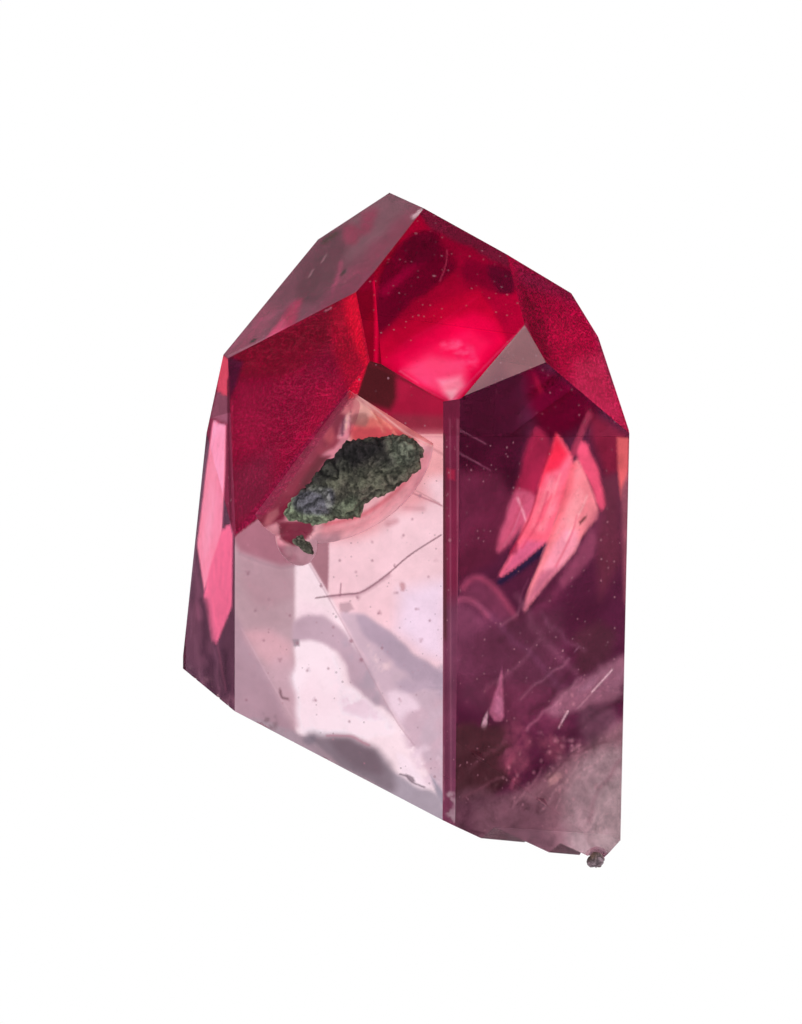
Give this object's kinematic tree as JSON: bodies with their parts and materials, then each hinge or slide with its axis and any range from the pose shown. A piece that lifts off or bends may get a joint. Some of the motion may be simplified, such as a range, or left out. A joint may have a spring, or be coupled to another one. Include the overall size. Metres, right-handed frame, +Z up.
{
  "type": "rhodochrosite crystal",
  "caption": "Transparent red-tipped pink crystal prism with a many-faced top and a broken base, with green-grey rock lodged in a hollow of its front.",
  "frame": {"origin": "on the resting plane, under the middle of the whole object's box", "axes": "+Z up from the surface the break rests on, -Y towards the front, +X to the right seen from the front; the prism leans towards -X"},
  "size_m": [0.0286, 0.0238, 0.0263],
  "materials": {
    "crystal": "clear, etched on two of its top faces",
    "green_rock": "granular",
    "brown_rock": "granular"
  },
  "bodies": {
    "root": {"crystal": "crystal", "matrix_clump": "green_rock", "small_crumb": "green_rock", "base_crumb": "brown_rock"}
  },
  "joints": []
}
